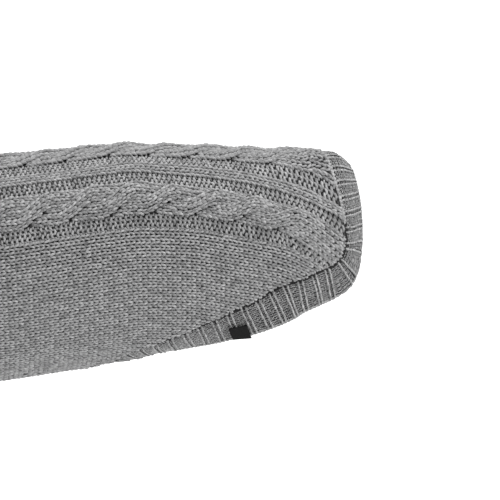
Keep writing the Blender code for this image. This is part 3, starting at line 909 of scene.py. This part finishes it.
def add(tree, kind, inputs=(), **settings):
    """A node with its settings, and its inputs set or linked: (socket, value or output) pairs."""
    node = tree.nodes.new(kind)
    for name, value in settings.items():
        setattr(node, name, value)
    for socket, value in inputs:
        if isinstance(value, bpy.types.NodeSocket):
            tree.links.new(value, node.inputs[socket])
        else:
            node.inputs[socket].default_value = value
    return node


def maths(tree, operation, first, second=0.0, third=0.0):
    """The result of a Math node."""
    inputs = [(0, first), (1, second), (2, third)]
    return add(tree, "ShaderNodeMath", inputs, operation=operation).outputs[0]


def group_of(name, inputs, outputs):
    """An empty node group with (name, kind, value) inputs and (name, kind) outputs."""
    tree = bpy.data.node_groups.new(name, "ShaderNodeTree")
    for label, kind, value in inputs:
        socket = tree.interface.new_socket(name=label, in_out="INPUT", socket_type=kind)
        socket.default_value = value
    for label, kind in outputs:
        tree.interface.new_socket(name=label, in_out="OUTPUT", socket_type=kind)
    return tree, tree.nodes.new("NodeGroupInput").outputs, tree.nodes.new("NodeGroupOutput")


def marled_fibre():
    """Colour and height of a marled yarn: long fibre streaks that lie along it, its plies' twist, and a shade of its
    own for each stitch. Streaks are a noise drawn out along the yarn; the twist is a sine of length and turn."""
    colour, number = "NodeSocketColor", "NodeSocketFloat"
    tree, given, made = group_of(
        "marled_fibre",
        [("Dark", colour, (0.1, 0.1, 0.1, 1)), ("Light", colour, (0.4, 0.4, 0.4, 1)), ("Twist", number, 260.0)],
        [("Colour", colour), ("Height", number)],
    )
    place = add(tree, "ShaderNodeUVMap", uv_map="cloth").outputs[0]
    parts = add(tree, "ShaderNodeSeparateXYZ", [(0, place)]).outputs
    tone = add(tree, "ShaderNodeAttribute", attribute_name="tone").outputs["Fac"]
    along = maths(tree, "MULTIPLY", parts[0], 520.0)
    round_it = maths(tree, "MULTIPLY", parts[1], 5.0)
    own = maths(tree, "MULTIPLY", tone, 61.0)
    spot = add(tree, "ShaderNodeCombineXYZ", [(0, along), (1, round_it), (2, own)]).outputs[0]
    streak = add(tree, "ShaderNodeTexNoise", [("Vector", spot), ("Scale", 1.0), ("Detail", 2.0)]).outputs[0]
    where = add(tree, "ShaderNodeTexCoord").outputs["Object"]
    patch = add(tree, "ShaderNodeTexNoise", [("Vector", where), ("Scale", 380.0), ("Detail", 3.0)]).outputs[0]
    twist = maths(tree, "MULTIPLY_ADD", parts[0], given["Twist"], maths(tree, "MULTIPLY", parts[1], 2.0))
    ply = maths(tree, "SINE", maths(tree, "MULTIPLY", twist, FULL_TURN))
    shade = maths(tree, "MULTIPLY_ADD", maths(tree, "SUBTRACT", streak, 0.5), 1.1, 0.5)
    shade = maths(tree, "MULTIPLY_ADD", maths(tree, "SUBTRACT", patch, 0.5), 0.7, shade)
    shade = maths(tree, "MULTIPLY_ADD", maths(tree, "SUBTRACT", tone, 0.5), 0.3, shade)
    shade = maths(tree, "MULTIPLY_ADD", ply, 0.05, shade)
    mixed = add(tree, "ShaderNodeMix", [(0, shade), (6, given["Dark"]), (7, given["Light"])], data_type="RGBA")
    height = maths(tree, "MULTIPLY_ADD", ply, 0.35, maths(tree, "MULTIPLY", streak, 0.9))
    tree.links.new(mixed.outputs[2], made.inputs["Colour"])
    tree.links.new(height, made.inputs["Height"])
    return tree


def purl_side():
    """Height of the wrong side of plain knitting: waved rows, a cosine across the courses whose place sways with the
    wales."""
    number = "NodeSocketFloat"
    tree, given, made = group_of(
        "purl_side", [("Course", number, COURSE * MM), ("Wale", number, WALE * MM)], [("Height", number)]
    )
    place = add(tree, "ShaderNodeUVMap", uv_map="cloth").outputs[0]
    parts = add(tree, "ShaderNodeSeparateXYZ", [(0, place)]).outputs
    across = maths(tree, "MULTIPLY", maths(tree, "DIVIDE", parts[1], given["Wale"]), FULL_TURN)
    sway = maths(tree, "MULTIPLY", maths(tree, "COSINE", across), 0.28)
    courses = maths(tree, "ADD", maths(tree, "DIVIDE", parts[0], given["Course"]), sway)
    rows = maths(tree, "MULTIPLY", courses, FULL_TURN)
    height = maths(tree, "MULTIPLY_ADD", maths(tree, "COSINE", rows), 0.5, 0.5)
    tree.links.new(height, made.inputs["Height"])
    return tree


def blank_material(name, roughness, sheen=0.0):
    """(material, its nodes, its Principled BSDF) of a dull cloth."""
    material = bpy.data.materials.new(name)
    material.use_nodes = True
    tree = material.node_tree
    shader = tree.nodes["Principled BSDF"]
    shader.inputs["Roughness"].default_value = roughness
    shader.inputs["Sheen Weight"].default_value = sheen
    shader.inputs["Sheen Roughness"].default_value = 0.5
    shader.inputs["Specular IOR Level"].default_value = 0.25
    return material, tree, shader


def grouped(tree, group, **values):
    """A group placed in a material, with its own values."""
    node = add(tree, "ShaderNodeGroup", node_tree=group)
    for name, value in values.items():
        node.inputs[name].default_value = value
    return node


def bumped(tree, shader, height, distance):
    """Feeds a height to a shader's normal, by a Bump node."""
    inputs = [("Height", height), ("Distance", distance), ("Strength", 1.0)]
    tree.links.new(add(tree, "ShaderNodeBump", inputs).outputs[0], shader.inputs["Normal"])


def yarn_material(name, dark, light, twist):
    """A yarn of the two shades, with fibre streaks and plies."""
    material, tree, shader = blank_material(name, 0.92, 0.25)
    fibre = grouped(tree, FIBRE, Dark=(*dark, 1), Light=(*light, 1), Twist=twist)
    tree.links.new(fibre.outputs["Colour"], shader.inputs["Base Color"])
    bumped(tree, shader, fibre.outputs["Height"], 0.0002)
    return material


def painted_shade_ground_material(name, dark, light, course, wale, depth):
    """Cloth seen between the stitches, or from inside: waved rows, with painted shade that darkens the colour in their
    hollows.
    """
    material, tree, shader = blank_material(name, 0.95, 0.1)
    rows = grouped(tree, PURL_SIDE, Course=course * MM, Wale=wale * MM)
    fibre = grouped(tree, FIBRE, Dark=(*dark, 1), Light=(*light, 1))
    height = rows.outputs["Height"]
    # Painted shade: the colour is multiplied darker in the hollows between the waved rows.
    shade = maths(tree, "MULTIPLY_ADD", height, 0.75, 0.25)
    inputs = [(0, 1.0), (6, fibre.outputs["Colour"]), (7, shade)]
    mixed = add(tree, "ShaderNodeMix", inputs, data_type="RGBA", blend_type="MULTIPLY")
    tree.links.new(mixed.outputs[2], shader.inputs["Base Color"])
    bumped(tree, shader, height, depth * MM)
    return material


WEFT_PITCH = 0.0006
WARP_PITCH = 0.0009


def ribbon_material():
    """Black woven ribbon: fine ribs of weft across it, with a dull gloss."""
    material, tree, shader = blank_material("black_ribbon", 0.8)
    place = add(tree, "ShaderNodeUVMap", uv_map="cloth").outputs[0]
    parts = add(tree, "ShaderNodeSeparateXYZ", [(0, place)]).outputs
    weft = maths(tree, "SINE", maths(tree, "MULTIPLY", parts[0], FULL_TURN / WEFT_PITCH))
    warp = maths(tree, "SINE", maths(tree, "MULTIPLY", parts[1], FULL_TURN / WARP_PITCH))
    weave = maths(tree, "MULTIPLY_ADD", maths(tree, "MULTIPLY", weft, warp), 0.5, 0.5)
    inputs = [(0, weave), (6, (0.005, 0.005, 0.005, 1)), (7, (0.022, 0.022, 0.0225, 1))]
    mixed = add(tree, "ShaderNodeMix", inputs, data_type="RGBA")
    tree.links.new(mixed.outputs[2], shader.inputs["Base Color"])
    shader.inputs["Specular IOR Level"].default_value = 0.06
    bumped(tree, shader, weave, 0.0001)
    return material


FIBRE = marled_fibre()
PURL_SIDE = purl_side()
# The cloth seen between the stitches is given near-black colours: painted shadow of the deep gaps in the knitting.
PAINTED_GAP_SHADOW = ((0.02, 0.02, 0.0205), (0.08, 0.08, 0.081))
BODY_YARN = yarn_material("marled_yarn", (0.075, 0.075, 0.0765), (0.49, 0.49, 0.4925), 240)
RIB_YARN_LOOK = yarn_material("marled_rib_yarn", (0.10, 0.10, 0.101), (0.55, 0.55, 0.552), 300)
BODY_GAP_PAINTED_SHADOW = painted_shade_ground_material("knit_gap_painted_shadow", *PAINTED_GAP_SHADOW, COURSE, WALE, 0.5)
BODY_INSIDE = painted_shade_ground_material("knit_inside", (0.12, 0.12, 0.122), (0.36, 0.36, 0.365), COURSE, WALE, 1.2)
RIB_GAP_PAINTED_SHADOW = painted_shade_ground_material("rib_gap_painted_shadow", *PAINTED_GAP_SHADOW, RIB_COURSE, RIB_WALE, 0.4)
RIB_INSIDE = painted_shade_ground_material("rib_inside", (0.11, 0.11, 0.112), (0.33, 0.33, 0.335), RIB_COURSE, RIB_WALE, 0.8)
RIBBON = ribbon_material()

# ---------------------------------------------------------------- the pieces

# How far the shells' two sides lie off the body form, and what share of a cable's height the shell under it has.
GROUND_LIFT = 0.95
INNER_LIFT = 0.15
GROUND_RELIEF = 0.45


def hem_end(across_at):
    """Where lines along the body, given as across_at(along), meet the hem."""
    along = np.linspace(-60, 215, 1101)[:, None]
    short = hem_along(across_at(along) / half_girth(along)) - along
    first = np.argmax(short < 0, axis=0)
    column = np.arange(short.shape[1])
    over, under = short[first - 1, column], short[first, column]
    return along[first - 1, 0] + over / (over - under) * (along[1, 0] - along[0, 0])


def wall_piece(name, chart, along, across, relief, uv_across, ring, materials):
    """A shell on a grid of places of a chart, raised by its relief on the outside only."""
    outer, _ = chart(along, across, GROUND_LIFT + relief + 0 * along)
    inner, _ = chart(along, across, INNER_LIFT + 0 * along)
    uv = np.stack(np.broadcast_arrays(along, uv_across), axis=-1)
    return shell(name, outer, inner, uv, ring, materials)


def back_across(along, wale, outward):
    """Where a column of the back lies round the body: at its wale, or past the last one at a share of the way from
    there to the side seam."""
    edge = spread(along, np.sign(wale) * PLAIN)
    seam = np.sign(wale) * (side_seam(along) - SEAM_GAP / 2)
    return np.where(outward > 0, edge + outward * (seam - edge), spread(along, wale))


def build_back_cloth():
    """The back's ground: a grid of lines along the body, from wale to wale as far as PLAIN and then in equal shares
    as far as the side seam, and of rows from the collar seam to the hem. It rises a little under the cables."""
    start = COLLAR_SEAM + SEAM_GAP / 2
    patterned, plain = 45, 18
    half = np.concatenate([np.linspace(0, PLAIN, patterned), np.full(plain, PLAIN + 1)])
    outward = np.concatenate([np.zeros(patterned), np.arange(1, plain + 1) / plain])
    wale = np.concatenate([-half[:0:-1], half])
    outward = np.concatenate([outward[:0:-1], outward])
    rows = np.linspace(0, 1, 91)[:, None]
    end = hem_end(lambda at: back_across(at, wale, outward)) - SEAM_GAP / 2
    along = start + rows * (end - start)
    across = back_across(along, wale, outward)
    size = np.abs(wale) + 0 * along
    relief = np.where(size < CENTRE_CABLE, cable_relief(along, wale, 0, CABLE_ENDS[0]), 0)
    beside = cable_relief(along, size, sum(SIDE_CABLE) / 2, CABLE_ENDS[1])
    relief = np.where((size > SIDE_CABLE[0]) & (size < SIDE_CABLE[1]), beside, relief)
    relief = GROUND_RELIEF * relief
    looks = (BODY_GAP_PAINTED_SHADOW, BODY_INSIDE)
    return wall_piece("back_cloth", on_body, along, across, relief, across, False, looks)


def build_belly_cloth():
    """The belly's ground: lines in equal shares from side seam to side seam, and rows from the collar to the hem."""
    start = COLLAR_SEAM + SEAM_GAP / 2
    place = np.linspace(-1, 1, 33)
    rows = np.linspace(0, 1, 51)[:, None]

    def across_at(along):
        return half_girth(along) + place * (half_girth(along) - side_seam(along) - SEAM_GAP / 2)

    end = hem_end(across_at) - SEAM_GAP / 2
    along = start + rows * (end - start)
    across = across_at(along)
    away = across - half_girth(along)
    return wall_piece("belly_cloth", on_body, along, across, 0, away, False, (BODY_GAP_PAINTED_SHADOW, BODY_INSIDE))


def body_yarn_piece(name, arrays):
    return finished(name, raw_mesh(name, *arrays), (BODY_YARN,))


def rib_yarn_piece(name, parts):
    return finished(name, raw_mesh(name, *joined(parts)), (RIB_YARN_LOOK,))


def ring_cloth(name, chart, lengths, girth, columns):
    """The ground of a ribbed tube: rows at lengths from its seam, and equal steps round it."""
    length = lengths[:, None] + np.zeros(columns)
    round_it = np.arange(columns) / columns * girth + 0 * length
    return wall_piece(name, chart, length, round_it, 0, round_it, True, (RIB_GAP_PAINTED_SHADOW, RIB_INSIDE))


# The wales of the back's plain sides and of the belly, and the purl columns of the back: from where to where, and how
# far the cables beside them pull up their first and last stitches.
PLAIN_WALES = np.arange(PLAIN + WALE / 2, 245, WALE)
STRIPE_WALES = np.array((KNIT_STRIPE[0] + WALE / 2, KNIT_STRIPE[1] - WALE / 2))
BELLY_WALES = np.arange(-30, 31) * WALE
PURL_COLUMNS = (
    (CENTRE_CABLE, KNIT_STRIPE[0], (0.9, 0)),
    (KNIT_STRIPE[1], SIDE_CABLE[0], (-1.0, 0.2)),
    (SIDE_CABLE[1], PLAIN, (0.4, 0)),
)
SIDES = (("left", 1), ("right", -1))


def back_lift(along, wale):
    return body_lift(along, spread(along, wale))


def stripe_lift(along, wale):
    return back_lift(along, wale) + STRIPE_RAISED


def belly_lift(along, wale):
    return body_lift(along, half_girth(along) + wale)


def build_back_yarn():
    pieces = []
    for label, side in SIDES:
        arrays = plain_stitches(back_chart, side * PLAIN_WALES, on_back, back_lift)
        pieces.append(body_yarn_piece("plain_wales_" + label, arrays))
        middle = side * sum(SIDE_CABLE) / 2
        arrays = cable_stitches(middle, side, CABLE_ENDS[1], SIDE_TILT, CABLES_LOWER_FROM[1])
        pieces.append(body_yarn_piece("side_cable_" + label, arrays))
        parts = [plain_stitches(back_chart, side * STRIPE_WALES, on_back, stripe_lift)]
        parts += [purl_column(side * first, side * last, raised) for first, last, raised in PURL_COLUMNS]
        pieces.append(body_yarn_piece("stripes_" + label, joined(parts)))
    arrays = cable_stitches(0, 1, CABLE_ENDS[0], CENTRE_TILT, CABLES_LOWER_FROM[0])
    pieces.append(body_yarn_piece("centre_cable", arrays))
    return pieces


def build_belly_yarn():
    parts = [plain_stitches(belly_chart, BELLY_WALES, on_belly, belly_lift, sides=3)]
    parts += [side_seam_chains(side) for _, side in SIDES]
    return body_yarn_piece("belly_wales", joined(parts))


def build_band():
    """The hem band's ground and its ribbing, with the bound-off edge and, over the rump, the seam's chain."""
    cloth = ring_cloth("hem_cloth", band_chart, np.linspace(SEAM_GAP / 2, HEM_BAND, 13), BAND_GIRTH, 400)
    ribs = int(round(BAND_GIRTH / RIB_PITCH))
    over_rump = (0.41, 0.59)
    parts = [
        rib_pieces(band_chart, BAND_GIRTH, ribs, HEM_BAND, first=1.6, ribs_from=HEM_RIBS_FROM, strips=(4, 2)),
        edge_chain(band_chart, BAND_GIRTH, at=HEM_BAND - 0.5, count=4 * ribs, lift=RIB_WALL - 1.1, yarn=0.72),
        edge_chain(band_chart, BAND_GIRTH, at=0.2, count=4 * ribs, lift=WALL - 1.5, yarn=1.1, part=over_rump),
    ]
    return cloth, rib_yarn_piece("hem_ribs", parts)


def build_collar():
    """The collar's ground and its ribbing, with the bound-off edge and the seam's chain."""
    length = COLLAR_SEAM - COLLAR_END
    cloth = ring_cloth("collar_cloth", collar_chart, np.linspace(length, SEAM_GAP / 2, 13), COLLAR_GIRTH, 200)
    ribs = int(round(COLLAR_GIRTH / RIB_PITCH))
    parts = [
        rib_pieces(collar_chart, COLLAR_GIRTH, ribs, length),
        edge_chain(collar_chart, COLLAR_GIRTH, at=length - 0.6, count=4 * ribs, lift=RIB_WALL - 0.9, yarn=0.9),
        edge_chain(collar_chart, COLLAR_GIRTH, at=0, count=3 * ribs, lift=WALL - 1.1, yarn=1.3),
    ]
    return cloth, rib_yarn_piece("collar_ribs", parts)


def build_cuff(label, side):
    """A leg cuff's ground and its ribbing, with the bound-off edge and a chain that closes the gap at the leg hole."""
    chart = cuff_chart(side)
    cloth = ring_cloth("cuff_" + label + "_cloth", chart, np.linspace(0, CUFF_LENGTH, 11), CUFF_GIRTH, 90)
    count = 4 * CUFF_RIBS
    parts = [
        rib_pieces(chart, CUFF_GIRTH, CUFF_RIBS, CUFF_LENGTH),
        edge_chain(chart, CUFF_GIRTH, at=CUFF_LENGTH - 0.6, count=count, lift=RIB_WALL - 0.9, yarn=0.9),
        edge_chain(chart, CUFF_GIRTH, at=1.6, count=3 * CUFF_RIBS, lift=RIB_WALL + 0.9, yarn=1.5),
    ]
    return cloth, rib_yarn_piece("cuff_" + label + "_ribs", parts)


def build_sweater():
    back, belly = build_back_cloth(), build_belly_cloth()
    cut_leg_holes((back, belly))
    sheets = [(back, "back_panel", build_back_yarn()), (belly, "belly_panel", [build_belly_yarn()])]
    band, band_yarn = build_band()
    collar, collar_yarn = build_collar()
    sheets += [(band, "hem_band", [band_yarn]), (collar, "collar", [collar_yarn])]
    for label, side in SIDES:
        cuff, cuff_yarn = build_cuff(label, side)
        sheets.append((cuff, "cuff_" + label, [cuff_yarn]))
    sheets.append((build_tag(), "tag", []))
    for cloth, node, yarn in sheets:
        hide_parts(node)


def build_tag():
    """The blank folded tag: a ribbon that runs down over the band's edge and back up behind itself, a long loop of
    thin wall. Its section is a path out along the top, round the fold and back, and it lies a little turned."""
    middle = np.interp(TAG_SHARE, BAND_SHARES, np.linspace(0, BAND_GIRTH, BAND_COLUMNS))
    across = np.linspace(-TAG_SIZE[0] / 2, TAG_SIZE[0] / 2, 13)
    base = WALL + RIB_HEIGHT + SEAM_GAP
    run = TAG_SIZE[1] - TAG_FOLD
    out = np.linspace(0, 1, 12)
    fold = np.linspace(0, np.pi, 9)[1:-1]
    down = TAG_TOP + np.concatenate([run * out, run + TAG_FOLD * np.sin(fold), run * out[::-1]])
    lift = base + np.concatenate([1.1 + 0 * out, 0.6 + 0.5 * np.cos(fold), 0.1 + 0 * out])
    down = down[:, None] - TAG_TILT * across / TAG_SIZE[0]
    lift = lift[:, None] - 0.012 * np.maximum(down - HEM_BAND, 0) ** 2
    wall = np.where(np.arange(len(lift)) < len(lift) / 2, -0.35, 0.35)[:, None]
    outer, _ = band_chart(down, middle + across + 0 * down, lift + 0 * down)
    inner, _ = band_chart(down, middle + across + 0 * down, lift + wall + 0 * down)
    uv = np.stack(np.broadcast_arrays(np.arange(len(lift))[:, None] * 1.2, across), axis=-1)
    return shell("tag_ribbon", outer, inner, uv, False, (RIBBON, RIBBON))


# ---------------------------------------------------------------- camera, light and floor


def facing(thing, place, target):
    """Puts a lamp or camera at a place, turned to a target."""
    back = (Vector(place) - Vector(target)).normalized()
    thing.matrix_world = Matrix.Translation(place) @ back.to_track_quat("Z", "Y").to_matrix().to_4x4()


def set_camera():
    """The camera stands in front of the left side and above it, and frames the rear half as the photograph does."""
    around, up, distance = np.radians(-14), np.radians(25), 1.55
    target = Vector((0.126, -0.060, -0.066))
    pixels, pixel = 500, 0.78 * MM
    view_width = pixels * pixel
    back = Vector((np.sin(around) * np.cos(up), -np.cos(around) * np.cos(up), np.sin(up)))
    camera = bpy.data.objects.new("camera", bpy.data.cameras.new("camera"))
    bpy.context.scene.collection.objects.link(camera)
    camera.data.sensor_width = 36
    camera.data.lens = 36 * distance / view_width
    camera.data.clip_start, camera.data.clip_end = 0.05, 60
    facing(camera, target + back * distance, target)
    bpy.context.scene.camera = camera


def set_light():
    """A white studio with wide soft lamps: (name, place, size, watts)."""
    world = bpy.data.worlds.new("studio")
    world.use_nodes = True
    sky = world.node_tree.nodes["Background"]
    sky.inputs["Color"].default_value = (1, 1, 1, 1)
    sky.inputs["Strength"].default_value = 0.55
    bpy.context.scene.world = world
    lamps = (
        ("key", (0.25, -0.8, 2.1), 1.4, 30),
        ("top", (0.3, 0.8, 2.1), 1.4, 28),
        ("side", (2.0, -0.6, 0.8), 1.2, 14),
    )
    for name, place, size, power in lamps:
        lamp = bpy.data.lights.new(name, "AREA")
        lamp.shape = "SQUARE"
        lamp.size = size
        lamp.energy = power
        thing = bpy.data.objects.new(name, lamp)
        bpy.context.scene.collection.objects.link(thing)
        facing(thing, place, (0.0, 0.0, -0.08))


def set_floor():
    """A wide pale floor, as far under the sweater as the wearer's feet would be."""
    half, height = 12.0, -0.42
    corners = [(-half, -half, height), (half, -half, height), (half, half, height), (-half, half, height)]
    mesh = bpy.data.meshes.new("floor")
    mesh.from_pydata(corners, [], [(0, 1, 2, 3)])
    floor = bpy.data.objects.new("floor", mesh)
    bpy.context.scene.collection.objects.link(floor)
    material, tree, shader = blank_material("pale_floor", 0.9)
    where = add(tree, "ShaderNodeTexCoord").outputs["Object"]
    grain = add(tree, "ShaderNodeTexNoise", [("Vector", where), ("Scale", 3.0)]).outputs[0]
    inputs = [(0, grain), (6, (0.93, 0.93, 0.93, 1)), (7, (0.95, 0.95, 0.95, 1))]
    mixed = add(tree, "ShaderNodeMix", inputs, data_type="RGBA")
    tree.links.new(mixed.outputs[2], shader.inputs["Base Color"])
    shader.inputs["Emission Color"].default_value = (1, 1, 1, 1)
    shader.inputs["Emission Strength"].default_value = 0.35
    mesh.materials.append(material)


build_sweater()
set_camera()
set_light()
set_floor()
bpy.context.scene.view_settings.view_transform = "Standard"
